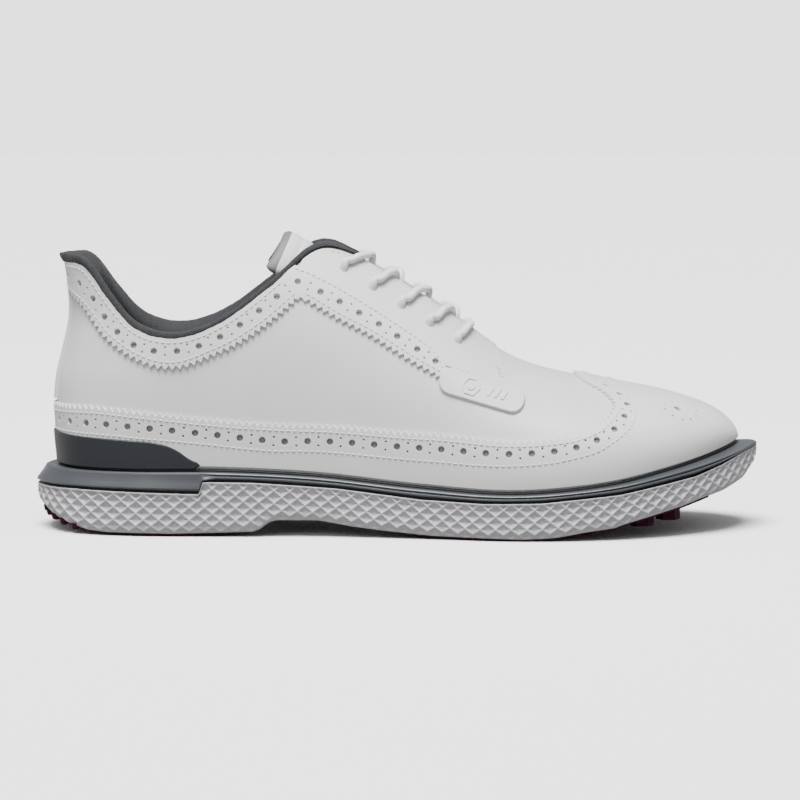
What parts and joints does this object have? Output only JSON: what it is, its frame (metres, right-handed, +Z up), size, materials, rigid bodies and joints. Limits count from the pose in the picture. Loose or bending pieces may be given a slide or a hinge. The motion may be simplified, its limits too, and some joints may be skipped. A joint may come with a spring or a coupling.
{
  "type": "golf shoe",
  "caption": "Right golf shoe with a wing-tip brogue leather upper, padded collar, round lace, grey sole frame, dimpled foam midsole and lugged rubber outsole.",
  "frame": {"origin": "centre of the bounding box in plan, on the ground under the lugs", "axes": "+X towards the toe, +Y towards the inner side of the foot, +Z up"},
  "size_m": [0.3036, 0.1158, 0.1219],
  "materials": {
    "leather": "smooth coated off-white leather",
    "leather_trim": "smooth coated off-white leather with cut and punched edges",
    "cup_plastic": "dark grey glossy moulded plastic",
    "collar_fabric": "dark grey knitted lining",
    "foam": "open-cell foam",
    "lining_fabric": "pale woven lining",
    "stiffener": "stiff fibre board",
    "lace_fabric": "round braided cord",
    "aglet_plastic": "clear-white plastic",
    "board_fabric": "stitched board",
    "frame_plastic": "mid-grey satin moulded plastic",
    "midsole_foam": "white moulded foam",
    "outsole_rubber": "burgundy rubber",
    "tongue_leather": "soft light grey leather",
    "insole_foam": "moulded foam"
  },
  "bodies": {
    "shoe": {"upper_shell": "leather", "wing_overlay": "leather_trim", "collar_band_lateral": "leather_trim", "collar_band_medial": "leather_trim", "facing_lateral": "leather_trim", "facing_medial": "leather_trim", "side_tab": "leather_trim", "heel_backstay": "leather_trim", "heel_cup": "cup_plastic", "collar_lining": "collar_fabric", "collar_foam": "foam", "vamp_lining": "lining_fabric", "heel_counter": "stiffener", "toe_puff": "stiffener", "lace": "lace_fabric", "aglets": "aglet_plastic", "strobel_board": "board_fabric", "sole_frame": "frame_plastic", "midsole": "midsole_foam", "outsole_heel": "outsole_rubber", "outsole_forefoot": "outsole_rubber"},
    "tongue": {"tongue_outer": "tongue_leather", "tongue_foam": "foam", "tongue_lining": "collar_fabric"},
    "insole": {"insole_foam": "insole_foam", "insole_cover": "collar_fabric"}
  },
  "joints": [
    {"name": "tongue_hinge", "type": "hinge", "parent": "shoe", "child": "tongue", "pos_m": [0.04, 0, 0.068], "axis": [0, -1, 0], "range_deg": [0, 8], "stiffness_Nm_per_rad": 0.6},
    {"name": "insole_peel", "type": "hinge", "parent": "shoe", "child": "insole", "pos_m": [0.133, 0, 0.035], "axis": [0, 1, 0], "range_deg": [0, 5]}
  ]
}
